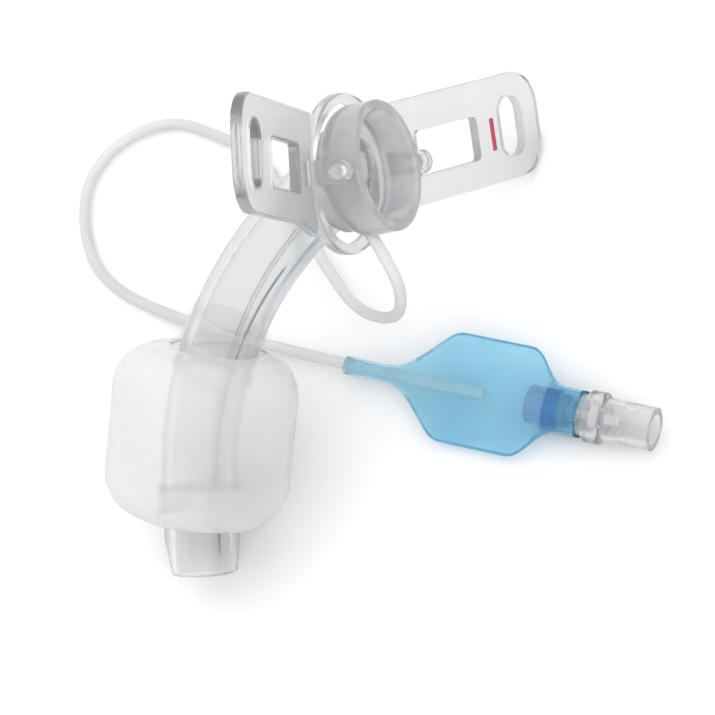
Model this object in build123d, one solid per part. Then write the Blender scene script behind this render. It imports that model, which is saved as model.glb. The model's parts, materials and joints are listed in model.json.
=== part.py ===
from build123d import *
import math
import os

# Cuffed tracheostomy tube in millimetres, lying on a table on the tip of one wing and on its cuff.
# Pieces are drawn in the tube's own frame: origin on the flange hinge, +X out of the connector's
# mouth, +Z to the top edge of the flange and +Y along one wing. lay_down() then turns them over.

# Cannula
lumen_diameter = 8.0
cannula_wall = 1.45
bend_radius = 52.0
start_angle = 21.6
end_angle = 81.6
tip_length = 10.5
tip_taper_length = 5.0
tip_end_wall = 0.75
tip_rounding = 0.3
channel_diameter = 0.8
channel_stop = 0.5
notch_diameter = 1.0

# Cuff
cuff_diameter = 26.8
cuff_length = 25.2
cuff_shoulder_radius = 6.5
cuff_film = 0.2
tip_below_cuff = 7.55
collar_length = 5.0
collar_inside = 4.0
collar_wall = 0.4

# Connector
socket_diameter = 15.3
socket_depth = 4.8
socket_floor_fillet = 0.8
mouth_chamfer = 0.4
connector_wall = 1.55
connector_floor = 1.9
rim_ahead_of_hinge = 1.6
rim_rounding = 0.5
heel_radius = 2.5
seat_behind_connector = 1.3
seat_below_axis = 0.7
sleeve_depth = 2.6
sleeve_wall = 1.35
bond_gap = 0.1

# Inflation port under the connector
port_behind_hinge = 3.1
port_depth = 1.2
port_lean = 24.0
passage_diameter = 0.7
gallery_depth = 0.5
gallery_width = 0.8

# Hinge between the connector and the neck flange
pin_diameter = 2.2
pin_clearance = 0.05
pin_end_chamfer = 0.25
ear_standoff = 1.8
ear_thickness = 1.7
ear_wall = 0.65

# Neck flange
flange_tilt = 7.4
ring_gap = 0.6
ring_wall = 1.4
ring_thickness = 1.8
ring_behind_connector = 0.4
ring_rounding = 0.4
plate_thickness = 1.6
plate_rounding = 0.4
wing_sweep = 14.6
wing_rise = 6.6
wing_width = 15.5
wing_corner_radius = 5.0
wing_flare = 1.2
wing_flare_length = 7.0
wing_flare_fillet = 8.0
slot_reach = 38.9
slot_width = 4.6
slot_length = 8.8
slot_end_margin = 4.1
window_to_slot = 5.6
window_length = 13.0
window_height = 6.4
window_drop = 0.45
window_corner_radius = 0.8

# Inflation line
line_diameter = 1.7
line_bond_gap = 0.05
line_exit_run = 4.2
line_lead_in = 9.5
line_end_in_balloon = 22.0
line_bend_share = 0.45
line_points = [
    (17.0, -3.5, 26.0),
    (13.4, -3.4, 16.5),
    (4.5, 2.3, 7.0),
    (-2.9, 12.5, 1.6),
    (-8.3, 21.5, 0.9),
    (-14.3, 31.5, 0.9),
    (-21.2, 35.2, 0.9),
    (-29.6, 38.9, 0.9),
    (-38.0, 35.8, 0.9),
    (-42.8, 29.4, 0.9),
    (-42.6, 20.7, 0.9),
    (-38.9, 12.5, 0.9),
    (-29.5, 6.7, 0.9),
]

# Pilot balloon and its valve, along their own axis from the line to the syringe end
balloon_film = 0.25
sleeve_wall_at_line = 0.35
balloon_sleeve_length = 7.7
balloon_flare_at = 10.3
balloon_flare_width = 5.8
balloon_flare_height = 3.6
balloon_front_at = 15.6
balloon_front_height = 3.8
balloon_width = 16.6
balloon_rear_at = 28.8
balloon_rear_height = 6.2
balloon_neck_at = 32.5
balloon_neck_end = 37.4
insert_from = 29.3
insert_diameter = 5.6
insert_guide_length = 1.6
insert_wall = 0.5
housing_from = 34.3
housing_diameter = 6.2
housing_wall = 0.6
collar_from = 38.3
collar_diameter = 7.6
collar_rounding = 0.4
luer_from = 40.8
luer_end = 48.3
luer_diameter = 6.3
luer_bore_diameter = 4.3
luer_bore_depth = 7.2
luer_foot_depth = 2.6
luer_foot_diameter = 5.0
valve_hole_diameter = 2.2
stem_diameter = 1.4
stem_reach = 2.4
stem_clearance = 0.05
head_diameter = 3.4
head_thickness = 1.0
seal_thickness = 0.5
seal_gap = 0.05
spring_wire_diameter = 0.32
spring_diameter = 2.6
spring_turns = 4
spring_end_gap = 0.02

# Rest pose on the table and the place of the pilot balloon there
rest_lean = 27.0
balloon_tilt = 2.0
balloon_roll = 10.0
balloon_heading = -15.3
balloon_place = (1.9, -4.1)

# Sizes that follow from the driving ones
lumen_radius = lumen_diameter / 2
cannula_radius = lumen_radius + cannula_wall
channel_offset = lumen_radius + cannula_wall / 2
socket_radius = socket_diameter / 2
connector_radius = socket_radius + connector_wall
connector_back = rim_ahead_of_hinge - socket_depth - connector_floor
sleeve_bore = cannula_radius + bond_gap
seat_x = connector_back - seat_behind_connector
pin_radius = pin_diameter / 2
ear_inner = connector_radius + ear_standoff
ear_outer = ear_inner + ear_thickness
ear_radius = pin_radius + ear_wall
ring_inner = connector_radius + ring_gap
ring_outer = ring_inner + ring_wall
wing_root = ring_outer - ring_wall
wing_reach = slot_reach + slot_width / 2 + slot_end_margin
window_end = slot_reach - slot_width / 2 - window_to_slot
line_radius = line_diameter / 2
cuff_radius = cuff_diameter / 2
arc_length = bend_radius * math.radians(end_angle - start_angle)
cuff_reach = arc_length + tip_length - tip_below_cuff - cuff_length / 2


def direction(degrees):
    """Direction of the cannula's axis at a given turn below the connector's axis."""
    turn = math.radians(degrees)
    return Vector(-math.cos(turn), 0, -math.sin(turn))


def inward(degrees):
    """Direction from the cannula's axis to the centre of its bend."""
    turn = math.radians(degrees)
    return Vector(math.sin(turn), 0, -math.cos(turn))


seat = Vector(seat_x, 0, -seat_below_axis)
bend_centre = seat + inward(start_angle) * bend_radius
bend_axis = Axis(bend_centre, (0, -1, 0))


def station(length):
    """Plane across the cannula's axis, that far from its seat. Its x points to the bend's centre."""
    on_arc = min(length, arc_length)
    degrees = start_angle + math.degrees(on_arc / bend_radius)
    along = direction(degrees)
    point = bend_centre - inward(degrees) * bend_radius + along * (length - on_arc)
    return Plane(point, x_dir=inward(degrees), z_dir=along)


def bent_bar(profile, start, length):
    """Bar of the given profile that follows the bend from one station over a length of axis."""
    return revolve(station(start) * profile, bend_axis, math.degrees(length / bend_radius))


def upright(radius, low, high):
    """Cylinder on the local Z axis between two heights."""
    return Pos(0, 0, (low + high) / 2) * Cylinder(radius, high - low)


def tube_bar(radius, start, end):
    """Round bar along the cannula's axis between two stations, over the bend and the straight tip."""
    bar = Part()
    if start < arc_length:
        bar += bent_bar(Circle(radius), start, min(end, arc_length) - start)
    if end > arc_length:
        straight_from = max(start, arc_length)
        bar += station(straight_from).location * upright(radius, 0, end - straight_from)
    return bar


def barrel(radius, length, shoulder):
    """Round barrel on the local Z axis with rounded shoulders."""
    half = Rectangle(radius, length, align=(Align.MIN, Align.CENTER))
    half = fillet(half.vertices().group_by(Axis.X)[-1], shoulder)
    return revolve(Plane.XZ * half, Axis.Z)


def make_cannula():
    bent = bent_bar(Circle(cannula_radius) - Circle(lumen_radius), 0, arc_length)
    taper_from = tip_length - tip_taper_length
    tip_radius = lumen_radius + tip_end_wall
    wall = Polyline(
        (lumen_radius, 0),
        (cannula_radius, 0),
        (cannula_radius, taper_from),
        (tip_radius, tip_length),
        (lumen_radius, tip_length),
        close=True,
    )
    outline = make_face(wall)
    outline = fillet(outline.vertices().group_by(Axis.Y)[-1], tip_rounding)
    tip = station(arc_length).location * revolve(Plane.XZ * outline, Axis.Z)
    channel_profile = Pos(0, -channel_offset) * Circle(channel_diameter / 2)
    channel = bent_bar(channel_profile, 0, arc_length)
    channel_end = Pos(0, -channel_offset, 0) * upright(channel_diameter / 2, 0, taper_from - channel_stop)
    channel += station(arc_length).location * channel_end
    notch = Pos(0, -cannula_radius, 0) * Rot(90, 0, 0) * Cylinder(notch_diameter / 2, cannula_wall)
    return bent + tip - channel - station(cuff_reach).location * notch


def make_cuff():
    middle = station(cuff_reach).location
    inner_radius = cuff_radius - cuff_film
    inner_length = cuff_length - 2 * cuff_film
    film = barrel(cuff_radius, cuff_length, cuff_shoulder_radius)
    film -= barrel(inner_radius, inner_length, cuff_shoulder_radius - cuff_film)
    bonded_radius = cannula_radius + line_bond_gap
    collar_radius = bonded_radius + collar_wall
    overlap = collar_wall + collar_radius * math.tan(cuff_length / 2 / bend_radius)
    upper_end = cuff_reach - cuff_length / 2
    lower_end = cuff_reach + cuff_length / 2
    upper = tube_bar(collar_radius, upper_end - collar_length, upper_end + collar_inside)
    lower = tube_bar(collar_radius, lower_end - collar_length, lower_end + overlap)
    lower &= middle * barrel(cuff_radius, cuff_length, cuff_shoulder_radius)
    core = tube_bar(bonded_radius, 0, arc_length + tip_length)
    return middle * film + upper + lower - core


def port_axis():
    """Mouth of the inflation port under the connector and the way that the line leaves it."""
    lean = math.radians(port_lean)
    mouth = Vector(-port_behind_hinge, 0, -connector_radius)
    return mouth, Vector(math.sin(lean), 0, -math.cos(lean))


def bar_between(start, end, radius):
    """Round bar from one point to another."""
    run = end - start
    return Plane(start, z_dir=run.normalized()).location * upright(radius, 0, run.length)


def make_connector():
    length = rim_ahead_of_hinge - connector_back
    body = Pos(rim_ahead_of_hinge - length / 2, 0, 0) * Rot(0, 90, 0) * Cylinder(connector_radius, length)
    body = fillet(body.edges().group_by(Axis.X)[0], heel_radius)
    body = fillet(body.edges().group_by(Axis.X)[-1], rim_rounding)
    pins = Cylinder(pin_radius, 2 * ear_outer)
    pins = Rot(90, 0, 0) * chamfer(pins.edges().filter_by(GeomType.CIRCLE), pin_end_chamfer)
    sleeve = upright(sleeve_bore + sleeve_wall, -sleeve_depth, sleeve_depth)
    body = body + pins + station(0).location * sleeve
    socket = Cylinder(socket_radius, 2 * socket_depth)
    socket = fillet(socket.edges().group_by(Axis.Z)[0], socket_floor_fillet)
    socket += upright(socket_radius + mouth_chamfer, 0, socket_depth)
    funnel = Pos(0, 0, -mouth_chamfer / 2) * Cone(socket_radius, socket_radius + mouth_chamfer, mouth_chamfer)
    body -= Pos(rim_ahead_of_hinge, 0, 0) * Rot(0, 90, 0) * (socket + funnel)
    tube_way = upright(sleeve_bore, 0, 2 * sleeve_depth)
    tube_way += upright(lumen_radius, -socket_depth, sleeve_depth)
    gallery = upright(channel_offset + gallery_width / 2, -gallery_depth, sleeve_depth)
    gallery -= upright(channel_offset - gallery_width / 2, -gallery_depth, sleeve_depth)
    body -= station(0).location * (tube_way + gallery)
    mouth, out = port_axis()
    bottom = mouth - out * port_depth
    gallery_foot = seat + inward(start_angle) * channel_offset
    body -= bar_between(bottom, mouth + out * port_depth, line_radius + line_bond_gap)
    return body - bar_between(bottom, gallery_foot, passage_diameter / 2)


def ring_centre():
    """Centre of the hub ring in the flange's own frame, which turns about the hinge."""
    turn = math.radians(flange_tilt)
    behind = connector_back - ring_behind_connector
    return Vector(behind * math.cos(turn), 0, behind * math.sin(turn))


def wing_plane():
    """Middle plane of the +Y wing in the flange's frame, with its origin level with the ring's centre."""
    sweep = math.radians(wing_sweep)
    out = Vector(math.sin(sweep), math.cos(sweep), 0)
    face = Vector(math.cos(sweep), -math.sin(sweep), 0)
    return Plane(ring_centre() + Vector(0, wing_root, 0) - out * wing_root, x_dir=out, z_dir=face)


def make_wing():
    half = wing_width / 2
    flare_end = wing_root + wing_flare_length
    root = ring_inner - wing_flare_length
    outline = make_face(
        Polyline(
            (root, -half - wing_flare),
            (wing_root, -half - wing_flare),
            (flare_end, -half),
            (wing_reach, -half),
            (wing_reach, half),
            (root, half),
            close=True,
        )
    )
    outline = fillet(outline.vertices().group_by(Axis.X)[-1], wing_corner_radius)
    bends = [corner for corner in outline.vertices() if abs(corner.X - flare_end) < slot_width / 2]
    outline = fillet(bends, wing_flare_fillet)
    slot = Pos(slot_reach, 0) * Rot(0, 0, 90) * SlotOverall(slot_length, slot_width)
    window = Pos(window_end - window_length / 2, -window_drop) * RectangleRounded(
        window_length, window_height, window_corner_radius
    )
    outline = Rot(0, 0, wing_rise) * (outline - slot - window)
    plate = extrude(outline, plate_thickness / 2, both=True)
    faces = plate.faces().filter_by(Axis.Z)
    plate = wing_plane().location * fillet(faces.edges(), plate_rounding)
    back_face = ring_centre().X - ring_thickness / 2
    return plate - Pos(back_face - ring_outer, 0, 0) * Box(2 * ring_outer, 4 * wing_root, 4 * wing_width)


def make_flange():
    ring = Cylinder(ring_outer, ring_thickness)
    ring = fillet(ring.edges().filter_by(GeomType.CIRCLE), ring_rounding)
    hub = Location(ring_centre()) * Rot(0, 90, 0)
    ear = Circle(ear_radius)
    ear_foot = ring_centre().X - plate_thickness / 2
    ear += Pos(ear_foot / 2, 0) * Rectangle(-ear_foot, 2 * ear_radius)
    ear -= Circle(pin_radius + pin_clearance)
    ear = extrude(Plane.XZ.offset(-ear_outer) * ear, ear_thickness)
    half = make_wing() + ear
    opening = hub * Cylinder(ring_inner, 4 * ring_thickness)
    flange = hub * ring + half + mirror(half, Plane.XZ) - opening
    return Rot(0, flange_tilt, 0) * flange


def make_pilot_balloon():
    sleeve = line_radius + line_bond_gap + sleeve_wall_at_line
    neck = housing_diameter / 2 + line_bond_gap + balloon_film
    sections = [
        (0, sleeve, sleeve),
        (balloon_sleeve_length, sleeve, sleeve),
        (balloon_flare_at, balloon_flare_width / 2, balloon_flare_height / 2),
        (balloon_front_at, balloon_width / 2, balloon_front_height / 2),
        (balloon_rear_at, balloon_width / 2, balloon_rear_height / 2),
        (balloon_neck_at, neck, neck),
        (balloon_neck_end, neck, neck),
    ]
    outside = [Plane.YZ.offset(at) * Ellipse(wide, high) for at, wide, high in sections]
    inside = [
        Plane.YZ.offset(at) * Ellipse(wide - balloon_film, high - balloon_film)
        for at, wide, high in sections[1:]
    ]
    bag = loft(outside, ruled=True) - loft(inside, ruled=True)
    way_in = Rot(0, 90, 0) * Cylinder(line_radius + line_bond_gap, 2 * balloon_flare_at)
    return Rot(balloon_roll, 0, 0) * (bag - way_in)


def along(radius, start, end):
    """Cylinder on the valve's own axis between two places."""
    return Rot(0, 90, 0) * upright(radius, start, end)


def make_valve_housing():
    outer = along(housing_diameter / 2, housing_from, luer_from)
    collar = along(collar_diameter / 2, collar_from, luer_from)
    collar = fillet(collar.edges().filter_by(GeomType.CIRCLE), collar_rounding)
    outer += collar + along(luer_diameter / 2, luer_from, luer_end)
    outer -= along(housing_diameter / 2 - housing_wall, housing_from, seat_face())
    outer -= along(valve_hole_diameter / 2, housing_from, luer_end)
    luer_foot = luer_end - luer_bore_depth
    outer -= along(luer_foot_diameter / 2, luer_foot, luer_foot + luer_foot_depth)
    return outer - along(luer_bore_diameter / 2, luer_foot, luer_end)


def seat_face():
    """Inner face of the housing that the plunger's seal closes on."""
    return luer_end - luer_bore_depth - housing_wall


def head_front():
    return seat_face() - seal_gap - seal_thickness


def make_valve_insert():
    insert = along(insert_diameter / 2, insert_from, housing_from)
    plug = housing_diameter / 2 - housing_wall - line_bond_gap
    insert += along(plug, housing_from, housing_from + insert_guide_length / 2)
    cavity = insert_diameter / 2 - insert_wall
    insert -= along(cavity, insert_from, housing_from - insert_guide_length / 2)
    insert -= along(stem_diameter / 2 + stem_clearance, insert_from, luer_end)
    vent = along(insert_wall / 2, insert_from, luer_end)
    vent_offset = (stem_diameter / 2 + cavity) / 2
    for turn in (45, 135, 225, 315):
        insert -= Rot(turn, 0, 0) * Pos(0, 0, vent_offset) * vent
    return insert


def make_valve_plunger():
    stem = along(stem_diameter / 2, housing_from - insert_guide_length, seat_face() + stem_reach)
    stem = chamfer(stem.edges().filter_by(GeomType.CIRCLE), pin_end_chamfer)
    return stem + along(head_diameter / 2, head_front() - head_thickness, head_front())


def make_plunger_seal():
    seal = along(head_diameter / 2, head_front(), head_front() + seal_thickness)
    return seal - along(stem_diameter / 2 + line_bond_gap, head_front(), seat_face())


def make_valve_spring():
    start = housing_from + insert_guide_length / 2 + spring_wire_diameter / 2 + spring_end_gap
    end = head_front() - head_thickness - spring_wire_diameter / 2 - spring_end_gap
    middle_radius = (spring_diameter - spring_wire_diameter) / 2
    coil = Helix((end - start) / spring_turns, end - start, middle_radius)
    wire = Plane(coil @ 0, z_dir=coil % 0) * Circle(spring_wire_diameter / 2)
    return Pos(start, 0, 0) * Rot(0, 90, 0) * sweep(wire, path=coil)


def lowest_of_cuff(up):
    """How far the cuff reaches along a given upward direction, measured from the hinge."""
    middle = station(cuff_reach)
    lean = abs(up.dot(middle.z_dir))
    shoulder = cuff_shoulder_radius
    side = (cuff_radius - shoulder) * math.sqrt(1 - lean**2)
    return up.dot(middle.origin) - (cuff_length / 2 - shoulder) * lean - side - shoulder


def lowest_of_wing(up):
    """How far the lower end corner of the +Y wing reaches along a given upward direction."""
    wing = Rot(0, flange_tilt, 0) * wing_plane().location
    reach = wing_reach - wing_corner_radius
    corner = Rot(0, 0, wing_rise) * Pos(reach, wing_corner_radius - wing_width / 2, 0)
    centre = (wing * corner).position
    face = Plane(wing).z_dir
    lean = abs(up.dot(face))
    edge = (wing_corner_radius - plate_rounding) * math.sqrt(1 - lean**2)
    return up.dot(centre) - edge - (plate_thickness / 2 - plate_rounding) * lean - plate_rounding


def resting_up():
    """Upward direction, in the tube's frame, with the cuff and one wing's tip level on the table."""
    tilt = math.radians(flange_tilt)
    lean = math.radians(rest_lean)
    ahead = Vector(math.cos(tilt), 0, -math.sin(tilt))
    top = Vector(math.sin(tilt), 0, math.cos(tilt))
    low, high = 0.0, 80.0
    while high - low > 1e-9:
        roll = math.radians((low + high) / 2)
        level = ahead * math.sin(roll) - Vector(0, math.cos(roll), 0)
        up = level * math.cos(lean) + top * math.sin(lean)
        if lowest_of_wing(up) < lowest_of_cuff(up):
            low = (low + high) / 2
        else:
            high = (low + high) / 2
    return up, top


def lay_down(pieces):
    """Place of the tube's frame on the table, with the middle of the pieces' box over the origin."""
    up, top = resting_up()
    back = (top - up * top.dot(up)).normalized()
    right = back.cross(up)
    turned = Plane((0, 0, 0), x_dir=(right.X, back.X, up.X), z_dir=(right.Z, back.Z, up.Z)).location
    box = Compound([turned * piece for piece in pieces]).bounding_box()
    return Pos(-box.center().X, -box.center().Y, -box.min.Z) * turned


def pilot_place():
    """Place of the valve's axis on the table, resting on the housing's collar."""
    tilt = math.radians(balloon_tilt)
    heading = math.radians(balloon_heading)
    rounding_at = collar_from + collar_rounding
    rounding_out = collar_diameter / 2 - collar_rounding
    height = rounding_out * math.cos(tilt) - rounding_at * math.sin(tilt) + collar_rounding
    level = Vector(math.cos(heading), math.sin(heading), 0)
    ahead = level * math.cos(tilt) + Vector(0, 0, math.sin(tilt))
    rise = Vector(0, 0, math.cos(tilt)) - level * math.sin(tilt)
    return Plane((*balloon_place, height), x_dir=ahead, z_dir=rise).location


def line_route():
    """Corners of the inflation line, from the bottom of its port to its end inside the balloon."""
    mouth, out = port_axis()
    port_run = [mouth - out * port_depth, mouth + out * line_exit_run]
    corners = [(tube_place * Pos(point)).position for point in port_run]
    corners += [Vector(point) for point in line_points]
    balloon_run = [-line_lead_in, line_end_in_balloon]
    return corners + [(pilot_place() * Pos(at, 0, 0)).position for at in balloon_run]


def make_inflation_line():
    corners = line_route()
    radii = []
    for before, corner, after in zip(corners, corners[1:], corners[2:]):
        arriving = corner - before
        leaving = after - corner
        half_turn = math.radians(arriving.get_angle(leaving)) / 2
        radii.append(line_bend_share * min(arriving.length, leaving.length) / math.tan(half_turn))
    print("bend radii of the line:", [round(radius, 1) for radius in radii])
    route = FilletPolyline(*corners, radius=radii)
    line = sweep(Plane(route @ 0, z_dir=route % 0) * Circle(line_radius), path=route)
    volume_share = line.volume / (route.length * Circle(line_radius).area)
    print("line length:", round(route.length, 1), "volume share:", round(volume_share, 4))
    return line


held_pieces = {
    "cannula": make_cannula(),
    "cuff": make_cuff(),
    "connector": make_connector(),
    "neck_flange": make_flange(),
}
pilot_pieces = {
    "pilot_balloon": make_pilot_balloon(),
    "valve_housing": make_valve_housing(),
    "valve_insert": make_valve_insert(),
    "valve_plunger": make_valve_plunger(),
    "plunger_seal": make_plunger_seal(),
    "valve_spring": make_valve_spring(),
}
tube_place = lay_down(held_pieces.values())
nodes = {name: tube_place * piece for name, piece in held_pieces.items()}
nodes["inflation_line"] = make_inflation_line()
nodes.update({name: pilot_place() * piece for name, piece in pilot_pieces.items()})

os.makedirs("parts", exist_ok=True)
for name, piece in nodes.items():
    export_step(piece, f"parts/{name}.step")
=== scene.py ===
import json
import math

import bpy
from mathutils import Matrix, Vector


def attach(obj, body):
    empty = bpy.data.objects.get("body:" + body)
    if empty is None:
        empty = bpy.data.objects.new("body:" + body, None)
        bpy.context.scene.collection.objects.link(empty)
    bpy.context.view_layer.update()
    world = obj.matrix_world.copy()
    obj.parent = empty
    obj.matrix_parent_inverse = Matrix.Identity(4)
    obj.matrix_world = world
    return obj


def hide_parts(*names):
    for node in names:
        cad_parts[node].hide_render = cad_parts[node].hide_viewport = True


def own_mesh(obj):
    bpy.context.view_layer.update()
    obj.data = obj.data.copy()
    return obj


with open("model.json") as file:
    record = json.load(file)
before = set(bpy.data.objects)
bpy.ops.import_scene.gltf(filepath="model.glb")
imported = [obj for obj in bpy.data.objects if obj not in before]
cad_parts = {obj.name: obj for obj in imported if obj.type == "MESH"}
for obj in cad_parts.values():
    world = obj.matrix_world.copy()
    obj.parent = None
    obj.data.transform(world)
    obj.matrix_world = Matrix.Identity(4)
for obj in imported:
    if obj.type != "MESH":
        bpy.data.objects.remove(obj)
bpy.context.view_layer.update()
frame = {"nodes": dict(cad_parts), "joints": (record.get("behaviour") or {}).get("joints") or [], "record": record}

MM = 0.001


# Places on the table. Lengths are in millimetres unless a comment says metres.

# Pilot valve: the direction of its axis, where the balloon begins and where the housing's collar rests.
PILOT_TILT = 2.0
PILOT_HEADING = -15.3
PILOT_X = 1.9
PILOT_Y = -4.1
COLLAR_REST_AT = 38.7
COLLAR_REST_RADIUS = 3.4
COLLAR_ROUNDING = 0.4

# Axis of the cannula in the tube's frame: an arc from its seat, then straight on to the tip.
SEAT = Vector((-6.4, 0.0, -0.7))
BEND_RADIUS = 52.0
START_ANGLE = 21.6
END_ANGLE = 81.6
ARC_LENGTH = BEND_RADIUS * math.radians(END_ANGLE - START_ANGLE)


def tube_frame():
    """The tube as it lies: origin on the flange's hinge, x out of the connector, y along the hinge."""
    hinge = next(joint for joint in frame["joints"] if joint["name"] == "flange_swivel")
    socket = next(mount for mount in frame["record"]["mounts"] if mount["name"] == "connector_socket")
    ahead = Vector(socket["axis"])
    side = Vector(hinge["axis"])
    # To six places, as the record gives the other two directions.
    rise = Vector([round(part, 6) for part in ahead.cross(side)])
    matrix = Matrix((ahead, side, rise)).transposed().to_4x4()
    matrix.translation = hinge["pos_m"]
    return matrix


def pilot_frame():
    """The valve's axis on the table: x from the line to the syringe end, z up."""
    tilt = math.radians(PILOT_TILT)
    heading = math.radians(PILOT_HEADING)
    level = Vector((math.cos(heading), math.sin(heading), 0.0))
    ahead = level * math.cos(tilt) + Vector((0.0, 0.0, math.sin(tilt)))
    rise = Vector((0.0, 0.0, math.cos(tilt))) - level * math.sin(tilt)
    side = rise.cross(ahead)
    height = COLLAR_REST_RADIUS * math.cos(tilt) - COLLAR_REST_AT * math.sin(tilt) + COLLAR_ROUNDING
    matrix = Matrix((ahead, side, rise)).transposed().to_4x4()
    matrix.translation = Vector((PILOT_X, PILOT_Y, height)) * MM
    return matrix


TUBE = tube_frame()
PILOT = pilot_frame()


def station(length):
    """Point, direction and bend-side direction of the cannula's axis that far from its seat."""
    on_arc = min(length, ARC_LENGTH)
    start = math.radians(START_ANGLE)
    turn = start + on_arc / BEND_RADIUS
    centre = SEAT + Vector((math.sin(start), 0.0, -math.cos(start))) * BEND_RADIUS
    inward = Vector((math.sin(turn), 0.0, -math.cos(turn)))
    along = Vector((-math.cos(turn), 0.0, -math.sin(turn)))
    return centre - inward * BEND_RADIUS + along * (length - on_arc), along, inward


# Meshes

FILM_THICKNESS = 0.22


def add_object(name, data, body):
    piece = bpy.data.objects.new(name, data)
    bpy.context.scene.collection.objects.link(piece)
    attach(piece, body)
    return piece


def make_mesh(name, points, faces):
    mesh = bpy.data.meshes.new(name)
    mesh.from_pydata([tuple(point) for point in points], [], faces)
    mesh.validate()
    for polygon in mesh.polygons:
        polygon.use_smooth = True
    return mesh


def turns_of(around):
    """Angles of evenly spaced points round a ring, in radians."""
    return [2.0 * math.pi * step / around for step in range(around)]


def circle(centre, first, second, radius, around):
    """Ring of points round a centre, in the plane of two directions."""
    return [
        centre + first * radius * math.cos(turn) + second * radius * math.sin(turn)
        for turn in turns_of(around)
    ]


def tube_ring(length, radius, around):
    """Ring round the cannula's axis, that far from its seat."""
    point, along, inward = station(length)
    return circle(point, inward, along.cross(inward), radius, around)


def ring_mesh(name, rings, place, *materials):
    """Mesh of quads between rings of points in millimetres, set down by a place matrix."""
    around = len(rings[0])
    faces = []
    for row in range(len(rings) - 1):
        near = row * around
        far = near + around
        for step in range(around):
            ahead = (step + 1) % around
            faces.append((near + step, near + ahead, far + ahead, far + step))
    mesh = make_mesh(name, [place @ (point * MM) for ring in rings for point in ring], faces)
    for material in materials:
        mesh.materials.append(material)
    return mesh


def thicken(piece):
    """Gives a film its thickness, inwards from the modelled surface."""
    film = piece.modifiers.new("film", "SOLIDIFY")
    film.thickness = FILM_THICKNESS * MM
    film.offset = -1.0


# Materials


def new_material(name):
    material = bpy.data.materials.new(name)
    material.use_nodes = True
    tree = material.node_tree
    return material, tree.nodes, tree.links, tree.nodes["Principled BSDF"]


def ramp(nodes, low, high, colours):
    node = nodes.new("ShaderNodeValToRGB")
    node.color_ramp.elements[0].position = low
    node.color_ramp.elements[0].color = (*colours[0], 1.0)
    node.color_ramp.elements[1].position = high
    node.color_ramp.elements[1].color = (*colours[1], 1.0)
    return node


def object_noise(nodes, links, scale, detail):
    coordinates = nodes.new("ShaderNodeTexCoord")
    noise = nodes.new("ShaderNodeTexNoise")
    noise.inputs["Scale"].default_value = scale
    noise.inputs["Detail"].default_value = detail
    links.new(coordinates.outputs["Object"], noise.inputs["Vector"])
    return noise


def cloud_colour(nodes, links, shader, noise, low, high, colours):
    """Blends two base colours by a noise, between two of its values."""
    tint = ramp(nodes, low, high, colours)
    links.new(noise.outputs["Fac"], tint.inputs["Fac"])
    links.new(tint.outputs["Color"], shader.inputs["Base Color"])


def uneven_gloss(nodes, links, shader, noise, roughness):
    """Spreads the roughness between two values by a noise."""
    spread = nodes.new("ShaderNodeMapRange")
    spread.inputs["To Min"].default_value = roughness[0]
    spread.inputs["To Max"].default_value = roughness[1]
    links.new(noise.outputs["Fac"], spread.inputs["Value"])
    links.new(spread.outputs["Result"], shader.inputs["Roughness"])


def moulded(name, colours, roughness, transmission, bump, scale, ior=1.45, depth=None, alpha=1.0):
    """Translucent or solid plastic with slight clouding, uneven gloss and a faint moulded skin.

    scale is the clouding's noise scale per metre, and the skin's is 14 times finer. depth is the tint that
    light takes on inside the plastic, as a colour and a density per metre.
    """
    material, nodes, links, shader = new_material(name)
    cloud = object_noise(nodes, links, scale, 3.0)
    cloud_colour(nodes, links, shader, cloud, 0.35, 0.65, colours)
    uneven_gloss(nodes, links, shader, cloud, roughness)
    skin = object_noise(nodes, links, scale * 14.0, 2.0)
    lift = nodes.new("ShaderNodeBump")
    lift.inputs["Strength"].default_value = bump
    lift.inputs["Distance"].default_value = 0.2 * MM
    links.new(skin.outputs["Fac"], lift.inputs["Height"])
    links.new(lift.outputs["Normal"], shader.inputs["Normal"])
    shader.inputs["Transmission Weight"].default_value = transmission
    shader.inputs["IOR"].default_value = ior
    shader.inputs["Alpha"].default_value = alpha
    if depth:
        absorption = nodes.new("ShaderNodeVolumeAbsorption")
        absorption.inputs["Color"].default_value = (*depth[0], 1.0)
        absorption.inputs["Density"].default_value = depth[1]
        links.new(absorption.outputs["Volume"], nodes["Material Output"].inputs["Volume"])
    return material


clear_tube = moulded(
    "clear_tube_pvc",
    colours=((0.97, 0.973, 0.977), (0.99, 0.99, 0.99)),
    roughness=(0.06, 0.16),
    transmission=0.93,
    bump=0.03,
    scale=120.0,
    ior=1.38,
    depth=((0.50, 0.51, 0.53), 110.0),
)
collar_film = moulded(
    "collar_film_clear",
    colours=((0.93, 0.935, 0.94), (0.97, 0.97, 0.97)),
    roughness=(0.14, 0.24),
    transmission=0.0,
    bump=0.03,
    scale=120.0,
    ior=1.30,
    alpha=0.10,
)
collar_edge = moulded(
    "collar_edge_bond",
    colours=((0.58, 0.585, 0.60), (0.68, 0.68, 0.69)),
    roughness=(0.25, 0.40),
    transmission=0.25,
    bump=0.03,
    scale=120.0,
    ior=1.30,
)
cuff_film = moulded(
    "cuff_film_milky",
    colours=((0.96, 0.963, 0.967), (0.99, 0.99, 0.99)),
    roughness=(0.03, 0.07),
    transmission=0.74,
    bump=0.05,
    scale=90.0,
    ior=1.08,
)
grey_connector = moulded(
    "grey_connector_plastic",
    colours=((0.72, 0.722, 0.735), (0.82, 0.82, 0.832)),
    roughness=(0.12, 0.24),
    transmission=0.66,
    bump=0.04,
    scale=160.0,
    ior=1.38,
    depth=((0.45, 0.46, 0.48), 30.0),
)
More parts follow.
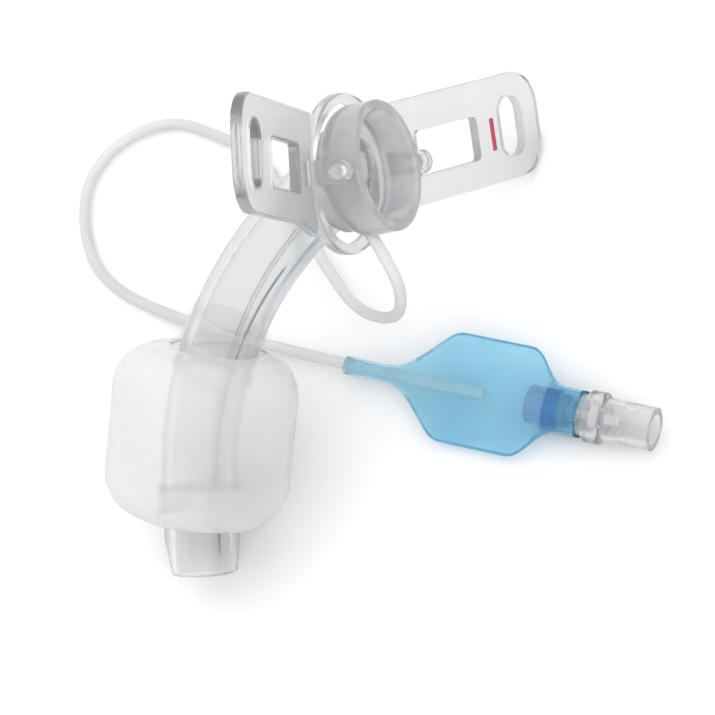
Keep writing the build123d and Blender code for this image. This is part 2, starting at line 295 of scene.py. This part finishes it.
clear_flange = moulded(
    "clear_flange_pvc",
    colours=((0.92, 0.923, 0.93), (0.96, 0.96, 0.965)),
    roughness=(0.12, 0.24),
    transmission=0.86,
    bump=0.04,
    scale=140.0,
    ior=1.36,
    depth=((0.45, 0.46, 0.48), 140.0),
)
white_line = moulded(
    "white_line_tube",
    colours=((0.94, 0.943, 0.947), (0.98, 0.98, 0.98)),
    roughness=(0.30, 0.45),
    transmission=0.55,
    bump=0.05,
    scale=220.0,
    ior=1.32,
    depth=((0.50, 0.51, 0.53), 160.0),
)
blue_film = moulded(
    "blue_balloon_film",
    colours=((0.60, 0.87, 0.985), (0.68, 0.91, 0.995)),
    roughness=(0.08, 0.20),
    transmission=0.86,
    bump=0.05,
    scale=110.0,
    ior=1.10,
)
blue_weld = moulded(
    "blue_weld_seam",
    colours=((0.26, 0.60, 0.84), (0.34, 0.67, 0.89)),
    roughness=(0.12, 0.24),
    transmission=0.70,
    bump=0.05,
    scale=140.0,
    ior=1.10,
)
blue_neck = moulded(
    "blue_neck_film",
    colours=((0.42, 0.74, 0.95), (0.50, 0.80, 0.97)),
    roughness=(0.08, 0.20),
    transmission=0.92,
    bump=0.05,
    scale=140.0,
    ior=1.08,
)
clear_valve = moulded(
    "clear_valve_plastic",
    colours=((0.94, 0.93, 0.945), (0.98, 0.975, 0.98)),
    roughness=(0.08, 0.18),
    transmission=0.84,
    bump=0.03,
    scale=200.0,
    ior=1.36,
    depth=((0.45, 0.43, 0.47), 90.0),
)
blue_insert = moulded(
    "blue_insert_plastic",
    colours=((0.03, 0.15, 0.42), (0.07, 0.23, 0.54)),
    roughness=(0.20, 0.34),
    transmission=0.25,
    bump=0.05,
    scale=260.0,
)
grey_marker = moulded(
    "grey_marker_line",
    colours=((0.40, 0.41, 0.43), (0.50, 0.51, 0.53)),
    roughness=(0.40, 0.60),
    transmission=0.0,
    bump=0.05,
    scale=400.0,
)
white_plunger = moulded(
    "white_plunger_plastic",
    colours=((0.82, 0.83, 0.85), (0.92, 0.92, 0.92)),
    roughness=(0.25, 0.40),
    transmission=0.05,
    bump=0.05,
    scale=260.0,
)
seal_rubber = moulded(
    "seal_rubber_soft",
    colours=((0.05, 0.05, 0.055), (0.09, 0.09, 0.10)),
    roughness=(0.55, 0.75),
    transmission=0.0,
    bump=0.15,
    scale=400.0,
)
red_ink = moulded(
    "red_print_ink",
    colours=((0.40, 0.035, 0.075), (0.52, 0.06, 0.11)),
    roughness=(0.30, 0.50),
    transmission=0.0,
    bump=0.08,
    scale=500.0,
)


def spring_metal():
    material, nodes, links, shader = new_material("spring_wire_bright")
    streak = object_noise(nodes, links, 1500.0, 4.0)
    cloud_colour(nodes, links, shader, streak, 0.3, 0.7, ((0.36, 0.37, 0.39), (0.66, 0.66, 0.68)))
    uneven_gloss(nodes, links, shader, streak, (0.18, 0.38))
    shader.inputs["Metallic"].default_value = 1.0
    return material


spring_wire = spring_metal()


def roughen_along(material, start, axis, near, far, amount):
    """Makes a film milkier from one distance along an axis to another, in metres in the row frame."""
    nodes, links = material.node_tree.nodes, material.node_tree.links
    roughness = nodes["Principled BSDF"].inputs["Roughness"]
    uneven = roughness.links[0].from_socket
    coordinates = nodes.new("ShaderNodeTexCoord")
    offset = nodes.new("ShaderNodeVectorMath")
    offset.operation = "SUBTRACT"
    offset.inputs[1].default_value = start
    distance = nodes.new("ShaderNodeVectorMath")
    distance.operation = "DOT_PRODUCT"
    distance.inputs[1].default_value = axis
    share = nodes.new("ShaderNodeMapRange")
    share.interpolation_type = "SMOOTHSTEP"
    share.inputs["From Min"].default_value = near
    share.inputs["From Max"].default_value = far
    share.inputs["To Max"].default_value = amount
    total = nodes.new("ShaderNodeMath")
    links.new(coordinates.outputs["Object"], offset.inputs[0])
    links.new(offset.outputs["Vector"], distance.inputs[0])
    links.new(distance.outputs["Value"], share.inputs["Value"])
    links.new(share.outputs["Result"], total.inputs[0])
    links.new(uneven, total.inputs[1])
    links.new(total.outputs["Value"], roughness)


for node, material in {
    "cannula": clear_tube,
    "connector": grey_connector,
    "neck_flange": clear_flange,
    "valve_housing": clear_valve,
    "valve_insert": blue_insert,
    "valve_plunger": white_plunger,
    "plunger_seal": seal_rubber,
}.items():
    for slot in frame["nodes"][node].material_slots:
        slot.material = material


# Camera, as the photograph was taken: from in front and above, with a long lens. Its place is in metres.

CAMERA_PLACE = (0.137631, -0.172571, 0.422882)
CAMERA_ANGLES = (22.073016, 16.343955, 3.597479)
FOCAL_PIXELS = 3220.4
PHOTO_PIXELS = 715.0
SENSOR_WIDTH = 36.0

camera_data = bpy.data.cameras.new("camera")
camera_data.sensor_width = SENSOR_WIDTH
camera_data.lens = FOCAL_PIXELS / PHOTO_PIXELS * SENSOR_WIDTH
camera_data.clip_start = 0.01
camera_data.clip_end = 10.0
camera = bpy.data.objects.new("camera", camera_data)
bpy.context.scene.collection.objects.link(camera)
camera.location = CAMERA_PLACE
camera.rotation_euler = [math.radians(angle) for angle in CAMERA_ANGLES]
bpy.context.scene.camera = camera


# Inflation line, from the port under the connector, over the table and into the balloon's sleeve

PORT_LEAN = math.radians(24.0)
PORT_MOUTH = Vector((-3.1, 0.0, -9.2))
PORT_DEPTH = 1.2
LINE_RADIUS = 0.85
LINE_EXIT_RUN = 4.2
LINE_ROUTE = (
    (17.0, -3.5, 26.0),
    (13.4, -3.4, 16.5),
    (4.5, 2.3, 7.0),
    (-2.9, 12.5, 1.6),
    (-8.3, 21.5, 0.9),
    (-14.3, 31.5, 0.9),
    (-21.2, 35.2, 0.9),
    (-29.6, 38.9, 0.9),
    (-38.0, 35.8, 0.9),
    (-42.8, 29.4, 0.9),
    (-42.6, 20.7, 0.9),
    (-38.9, 12.5, 0.9),
    (-29.5, 6.7, 0.9),
)
LINE_LEAD_IN = -9.5
LINE_END = 22.0

port_out = Vector((math.sin(PORT_LEAN), 0.0, -math.cos(PORT_LEAN)))
line_points = [TUBE @ ((PORT_MOUTH + port_out * run) * MM) for run in (-PORT_DEPTH, LINE_EXIT_RUN)]
line_points += [Vector(point) * MM for point in LINE_ROUTE]
line_points += [PILOT @ Vector((at * MM, 0.0, 0.0)) for at in (LINE_LEAD_IN, LINE_END)]
line_curve = bpy.data.curves.new("inflation_line_curve", "CURVE")
line_curve.dimensions = "3D"
line_curve.bevel_depth = LINE_RADIUS * MM
line_curve.bevel_resolution = 5
line_curve.resolution_u = 10
line_curve.use_fill_caps = True
spline = line_curve.splines.new("NURBS")
spline.points.add(len(line_points) - 1)
for control, point in zip(spline.points, line_points):
    control.co = (*point, 1.0)
spline.order_u = 3
spline.use_endpoint_u = True
line_curve.materials.append(white_line)
line = add_object("inflation_line_tube", line_curve, "tube")
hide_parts("inflation_line")


# Cuff: a thin inflated film, puckered where it gathers to its collars

CUFF_REACH = 44.8
CUFF_HALF = 12.6
CUFF_RADIUS = 13.4
CUFF_SHOULDER = 6.5
CUFF_AROUND = 96
SHOULDER_STEPS = 12
PUCKER_FROM = 6.0
# Distances of the upper collar's lip, bonded length and flare, and of the tucked-in lower collar.
COLLAR_START = CUFF_REACH - CUFF_HALF - 5.0
COLLAR_BONDED = 3.4
COLLAR_FLARE = CUFF_REACH - CUFF_HALF - 1.4
FOOT_AT = CUFF_REACH + CUFF_HALF - 1.0
TUCK_START = CUFF_REACH + CUFF_HALF - 1.2
TUCK_LENGTH = 3.8
# Rows of faces, from the lip, that belong to the upper collar.
COLLAR_ROWS = 8


def between(first, last):
    """Two rings on the way from one ring to another."""
    return [[a.lerp(b, share) for a, b in zip(first, last)] for share in (0.35, 0.7)]


def cuff_rings():
    """Rings of the film from the upper collar's lip, over the barrel, to the lower collar inside."""
    middle, along, inward = station(CUFF_REACH)
    side = along.cross(inward)

    def barrel_ring(at, radius):
        """Ring at a distance from the cuff's middle, with puckers near the ends and a slight sway."""
        gathered = (CUFF_RADIUS - radius) / CUFF_SHOULDER
        bend = station(CUFF_REACH + at)[0] - middle
        centre = middle + along * at + inward * bend.dot(inward) * gathered ** 2
        gather = max(0.0, (abs(at) - PUCKER_FROM) / (CUFF_HALF - PUCKER_FROM))
        ring = []
        for turn in turns_of(CUFF_AROUND):
            coarse = 0.05 * gather * math.sin(17.0 * turn + 0.6 * at)
            fine = 0.03 * gather * math.sin(29.0 * turn + 1.3)
            sway = 0.07 * (math.sin(2.0 * turn + 0.5) - 1.0) * (1.0 - (at / CUFF_HALF) ** 2)
            spoke = radius + ((coarse + fine) * radius / CUFF_RADIUS + sway) * min(1.0, radius / 9.0)
            ring.append(centre + inward * spoke * math.cos(turn) + side * spoke * math.sin(turn))
        return ring

    def shoulder_ring(end, step):
        """Ring on the rounded shoulder at one end, -1 or 1, from its collar up to the barrel."""
        turn = math.radians(90.0 * step / SHOULDER_STEPS)
        at = CUFF_HALF - CUFF_SHOULDER * (1.0 - math.cos(turn))
        return barrel_ring(end * at, CUFF_RADIUS - CUFF_SHOULDER * (1.0 - math.sin(turn)))

    collar = [tube_ring(COLLAR_START, 5.75, CUFF_AROUND), tube_ring(COLLAR_START + 0.1, 5.86, CUFF_AROUND)]
    for share in (0.3, 0.65, 0.9):
        collar.append(tube_ring(COLLAR_START + COLLAR_BONDED * share, 5.92, CUFF_AROUND))
    collar.append(tube_ring(COLLAR_FLARE, 6.0, CUFF_AROUND))
    upper = [shoulder_ring(-1.0, step) for step in range(SHOULDER_STEPS + 1)]
    straight = CUFF_HALF - CUFF_SHOULDER
    barrel = [barrel_ring(straight * (step / 5.0 - 1.0), CUFF_RADIUS) for step in range(1, 10)]
    lower = [shoulder_ring(1.0, step) for step in range(SHOULDER_STEPS, -1, -1)]
    tucked = [tube_ring(FOOT_AT, 6.0, CUFF_AROUND)]
    for share in (0.3, 0.65, 1.0):
        tucked.append(tube_ring(TUCK_START - TUCK_LENGTH * share, 5.8, CUFF_AROUND))
    rings = collar + between(collar[-1], upper[0]) + upper + barrel + lower
    return rings + between(lower[-1], tucked[0]) + tucked


cuff_middle, cuff_axis, _ = station(CUFF_REACH)
roughen_along(
    cuff_film,
    start=TUBE @ (cuff_middle * MM),
    axis=TUBE.to_3x3() @ cuff_axis,
    near=-10.5 * MM,
    far=-6.5 * MM,
    amount=0.16,
)
cuff_mesh = ring_mesh("cuff_film", cuff_rings(), TUBE, cuff_film, collar_film)
for polygon in cuff_mesh.polygons[:COLLAR_ROWS * CUFF_AROUND]:
    polygon.material_index = 1
cuff = add_object("cuff_film", cuff_mesh, "tube")
thicken(cuff)
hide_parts("cuff")


# Upper collar inside the cuff, with its bonded edge

SLEEVE_START = CUFF_REACH - 13.6
SLEEVE_END = CUFF_REACH - 9.1
SLEEVE_INSIDE = 5.55
SLEEVE_OUTSIDE = 5.85
SLEEVE_AROUND = 64
SLEEVE_PROFILE = (
    (SLEEVE_START, SLEEVE_INSIDE),
    (SLEEVE_START, SLEEVE_OUTSIDE),
    (SLEEVE_END - 0.3, SLEEVE_OUTSIDE),
    (SLEEVE_END, SLEEVE_OUTSIDE - 0.05),
    (SLEEVE_END, SLEEVE_INSIDE),
    (SLEEVE_START, SLEEVE_INSIDE),
)

sleeve_rings = [tube_ring(length, radius, SLEEVE_AROUND) for length, radius in SLEEVE_PROFILE]
sleeve_mesh = ring_mesh("cuff_upper_collar", sleeve_rings, TUBE, collar_film, collar_edge)
for polygon in sleeve_mesh.polygons[2 * SLEEVE_AROUND:4 * SLEEVE_AROUND]:
    polygon.material_index = 1
add_object("cuff_upper_collar", sleeve_mesh, "tube")


# Fine grey line in the cannula's wall

MARKER_START = 14.0
MARKER_LENGTH = 48
MARKER_TURN = math.radians(30.0)
MARKER_DISTANCE = 4.7
MARKER_RADIUS = 0.2
MARKER_TIP = 0.02
MARKER_AROUND = 8


def marker_rings():
    rings = []
    for step in range(MARKER_LENGTH + 1):
        point, along, inward = station(MARKER_START + step)
        out = inward * math.cos(MARKER_TURN) + along.cross(inward) * math.sin(MARKER_TURN)
        radius = MARKER_RADIUS if 0 < step < MARKER_LENGTH else MARKER_TIP
        rings.append(circle(point + out * MARKER_DISTANCE, out, along.cross(out), radius, MARKER_AROUND))
    return rings


marker_mesh = ring_mesh("tube_marker_line", marker_rings(), TUBE, grey_marker)
add_object("tube_marker_line", marker_mesh, "tube")


# Pilot balloon: two films welded along both sides, creased towards the corners

# Half the balloon's width and height by the distance from its sleeve's end.
BALLOON_WIDTH = (
    (0.0, 1.35), (4.0, 1.25), (7.7, 1.3), (9.0, 1.8), (10.3, 2.9), (12.6, 5.1), (15.6, 8.2), (28.8, 8.2),
    (32.3, 3.6), (33.0, 3.4), (37.4, 3.4),
)
BALLOON_HEIGHT = (
    (0.0, 1.35), (4.0, 1.25), (7.7, 1.25), (10.3, 1.75), (15.6, 2.0), (22.0, 2.7), (28.8, 3.1), (32.2, 3.4),
    (37.4, 3.4),
)
# Distances of the rings, closer together at the corners.
BALLOON_PLACES = (
    0.0, 2.5, 5.0, 7.0, 7.7, 8.4, 9.0, 9.6, 10.3, 11.0, 11.8, 12.6, 13.4, 14.2, 15.0, 15.4, 15.6, 15.9, 16.6,
    *(17.6 + 0.8 * step for step in range(13)),
    27.9, 28.4, 28.7, 28.9, 29.3, 30.0, 30.8, 31.6, 32.2, 33.0, 34.0, 35.4, 36.6, 37.4,
)
BALLOON_AROUND = 72
BALLOON_PLACE = PILOT @ Matrix.Rotation(math.radians(10.0), 4, "X")
CORNER_STEP = 0.32
WELD_START = 10.0
WELD_WIDTH = 0.25
NECK_START = 32.2


def smooth_between(points, at):
    """Value at a place along a chain of (place, value) points, with the chain's corners rounded off."""
    total = 0.0
    for step in range(-4, 5):
        place = min(max(at + CORNER_STEP * step, points[0][0]), points[-1][0])
        for (left, low), (right, high) in zip(points, points[1:]):
            if place <= right:
                total += low + (high - low) * (place - left) / (right - left)
                break
    return total / 9.0


def balloon_ring(at):
    """Ring of the pouch at a distance from its sleeve's end: round at the ends, lens-shaped between."""
    wide = smooth_between(BALLOON_WIDTH, at)
    high = smooth_between(BALLOON_HEIGHT, at)
    flat = min(1.0, max(0.0, (wide - high) / 4.0))
    ring = []
    for turn in turns_of(BALLOON_AROUND):
        y = wide * math.cos(turn)
        lens = math.copysign(abs(math.sin(turn)) ** (1.0 + 0.55 * flat), math.sin(turn))
        wave = 0.12 * flat * math.sin(1.1 * at + 0.9 * y)
        crease = wave * abs(math.cos(turn)) ** 2 * math.sin(turn) ** 2
        ring.append(Vector((at, y, high * lens + crease)))
    return ring


balloon_rings = [balloon_ring(at) for at in BALLOON_PLACES]
balloon_mesh = ring_mesh(
    "pilot_balloon_film", balloon_rings, BALLOON_PLACE, blue_film, blue_weld, blue_neck
)
from_row = BALLOON_PLACE.inverted()
for polygon in balloon_mesh.polygons:
    centre = (from_row @ polygon.center) / MM
    if centre.x > NECK_START:
        polygon.material_index = 2
    elif centre.x > WELD_START and abs(centre.y) > smooth_between(BALLOON_WIDTH, centre.x) - WELD_WIDTH:
        polygon.material_index = 1
balloon = add_object("pilot_balloon_film", balloon_mesh, "tube")
thicken(balloon)
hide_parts("pilot_balloon")


# Valve spring: a wire coil round the valve's axis, with a mesh of its own

SPRING_FROM = 35.28
SPRING_TO = 38.77
SPRING_TURNS = 4
SPRING_STEPS = 160
SPRING_RADIUS = 1.14
SPRING_WIRE = 0.16
SPRING_AROUND = 12


def spring_rings():
    pitch = (SPRING_TO - SPRING_FROM) / (2.0 * math.pi * SPRING_TURNS)
    rings = []
    for step in range(SPRING_STEPS + 1):
        turn = 2.0 * math.pi * SPRING_TURNS * step / SPRING_STEPS
        out = Vector((0.0, math.sin(turn), -math.cos(turn)))
        along = Vector((pitch, SPRING_RADIUS * math.cos(turn), SPRING_RADIUS * math.sin(turn))).normalized()
        point = Vector((SPRING_FROM + pitch * turn, 0.0, 0.0)) + out * SPRING_RADIUS
        radius = SPRING_WIRE if 0 < step < SPRING_STEPS else SPRING_WIRE * 0.1
        rings.append(circle(point, out, along.cross(out), radius, SPRING_AROUND))
    return rings


spring_mesh = ring_mesh("valve_spring_coil", spring_rings(), PILOT, spring_wire)
spring = add_object("valve_spring_coil", spring_mesh, "tube")
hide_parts("valve_spring")
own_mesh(spring)


# Plain red bar on the front of the lower wing

WING_RISE = math.radians(6.6)
WING_SWEEP = math.radians(14.6)
WING_TILT = math.radians(7.4)
WING_ROOT = 9.8
RING_BEHIND = -5.5
BAR_ALONG = 34.3
BAR_UP = -0.5
BAR_LENGTH = 4.8
BAR_WIDTH = 0.9
BAR_CORNER = 0.18
BAR_FRONT = 0.83
BAR_BACK = 0.79


def wing_point(along, up, lift):
    """Point on the lower wing's face in the row frame, by its place along and up the wing."""
    u = along * math.cos(WING_RISE) - up * math.sin(WING_RISE)
    v = along * math.sin(WING_RISE) + up * math.cos(WING_RISE)
    out = Vector((math.sin(WING_SWEEP), math.cos(WING_SWEEP), 0.0))
    face = Vector((math.cos(WING_SWEEP), -math.sin(WING_SWEEP), 0.0))
    centre = Vector((RING_BEHIND * math.cos(WING_TILT), 0.0, RING_BEHIND * math.sin(WING_TILT)))
    root = centre + Vector((0.0, WING_ROOT, 0.0))
    point = root + out * (u - WING_ROOT) + Vector((0.0, 0.0, v)) + face * lift
    return TUBE @ (Matrix.Rotation(WING_TILT, 3, "Y") @ point * MM)


def bar_outline():
    """Rectangle with rounded corners, as places along and up the wing from the bar's middle."""
    points = []
    for across, up, start in ((1, 1, 0), (-1, 1, 90), (-1, -1, 180), (1, -1, 270)):
        for step in range(5):
            turn = math.radians(start + 22.5 * step)
            x = across * (BAR_WIDTH / 2 - BAR_CORNER) + BAR_CORNER * math.cos(turn)
            y = up * (BAR_LENGTH / 2 - BAR_CORNER) + BAR_CORNER * math.sin(turn)
            points.append((x, y))
    return points


outline = bar_outline()
count = len(outline)
bar_points = [wing_point(BAR_ALONG + x, BAR_UP + y, BAR_FRONT) for x, y in outline]
bar_points += [wing_point(BAR_ALONG + x, BAR_UP + y, BAR_BACK) for x, y in outline]
bar_faces = [tuple(range(count)), tuple(range(2 * count - 1, count - 1, -1))]
for step in range(count):
    ahead = (step + 1) % count
    bar_faces.append((step, step + count, ahead + count, ahead))
bar_mesh = make_mesh("red_bar", bar_points, bar_faces)
for polygon in bar_mesh.polygons:
    polygon.use_smooth = False
bar_mesh.materials.append(red_ink)
add_object("red_bar", bar_mesh, "flange")


# Floor and soft studio light, in metres

FLOOR_HALF = 1.5
LIGHT_AIM = Vector((0.0, 0.0, 0.02))
LIGHT_SIZE = 0.9

floor_corners = [(x * FLOOR_HALF, y * FLOOR_HALF, 0.0) for x, y in ((-1, -1), (1, -1), (1, 1), (-1, 1))]
floor_mesh = make_mesh("floor", floor_corners, [(0, 1, 2, 3)])
floor_material, nodes, links, shader = new_material("pale_floor")
paper = object_noise(nodes, links, 60.0, 4.0)
cloud_colour(nodes, links, shader, paper, 0.3, 0.7, ((0.93, 0.93, 0.935), (0.95, 0.95, 0.955)))
shader.inputs["Roughness"].default_value = 0.8
floor_mesh.materials.append(floor_material)
floor = bpy.data.objects.new("floor", floor_mesh)
bpy.context.scene.collection.objects.link(floor)


def area_light(name, place, power):
    data = bpy.data.lights.new(name, "AREA")
    data.shape = "DISK"
    data.size = LIGHT_SIZE
    data.energy = power
    light = bpy.data.objects.new(name, data)
    bpy.context.scene.collection.objects.link(light)
    light.location = place
    light.rotation_euler = (LIGHT_AIM - Vector(place)).to_track_quat("-Z", "Y").to_euler()


area_light("key", (-0.40, 0.30, 0.85), 1.8)
area_light("fill", (0.45, -0.50, 0.7), 1.6)

# White above and grey at the horizon, which draws the clear pieces' edges.
world = bpy.data.worlds.new("studio")
world.use_nodes = True
nodes, links = world.node_tree.nodes, world.node_tree.links
sky_direction = nodes.new("ShaderNodeTexCoord")
sky_parts = nodes.new("ShaderNodeSeparateXYZ")
sky_shade = ramp(nodes, 0.05, 0.55, ((0.30, 0.31, 0.33), (1.0, 1.0, 1.0)))
links.new(sky_direction.outputs["Generated"], sky_parts.inputs["Vector"])
links.new(sky_parts.outputs["Z"], sky_shade.inputs["Fac"])
links.new(sky_shade.outputs["Color"], nodes["Background"].inputs["Color"])
nodes["Background"].inputs["Strength"].default_value = 1.14
bpy.context.scene.world = world
bpy.context.scene.view_settings.view_transform = "Standard"
